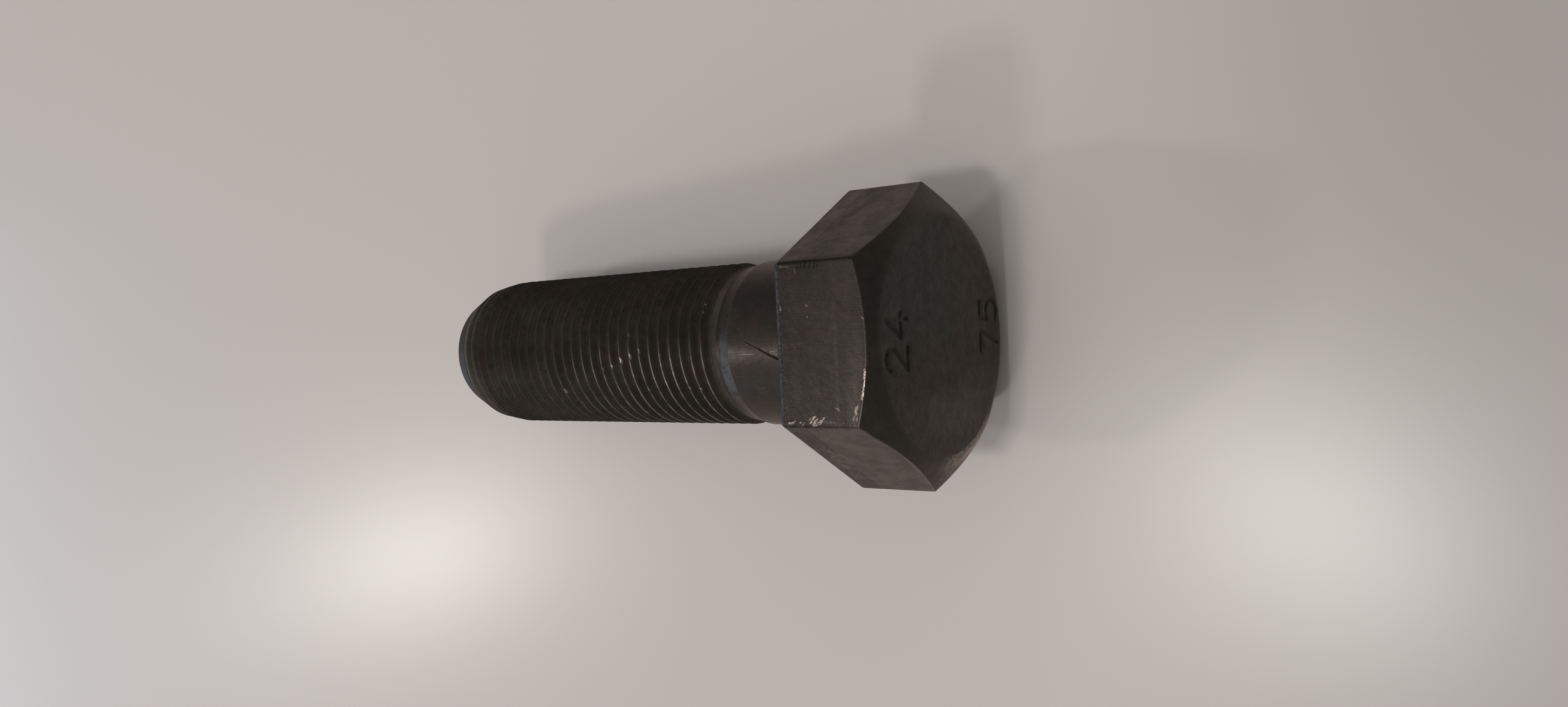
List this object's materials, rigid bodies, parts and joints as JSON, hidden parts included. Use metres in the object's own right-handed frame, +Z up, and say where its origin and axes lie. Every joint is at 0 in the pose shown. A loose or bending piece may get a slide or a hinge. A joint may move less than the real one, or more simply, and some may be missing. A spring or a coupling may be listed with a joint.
{
  "type": "hexagon head bolt",
  "caption": "Hexagon head bolt with a plain shank and a fine metric thread, black oxide steel, lying on its side.",
  "frame": {"origin": "centre of the bottom of the bounding box, on the surface the bolt lies on", "axes": "+Z up; +X from the thread end towards the head, level, with the bolt's own axis raised 5.2 degrees towards the head; +Y across"},
  "size_m": [0.0906, 0.0414, 0.037],
  "materials": {
    "steel": "dark satin black oxide"
  },
  "bodies": {
    "root": {"bolt": "steel"}
  },
  "joints": []
}
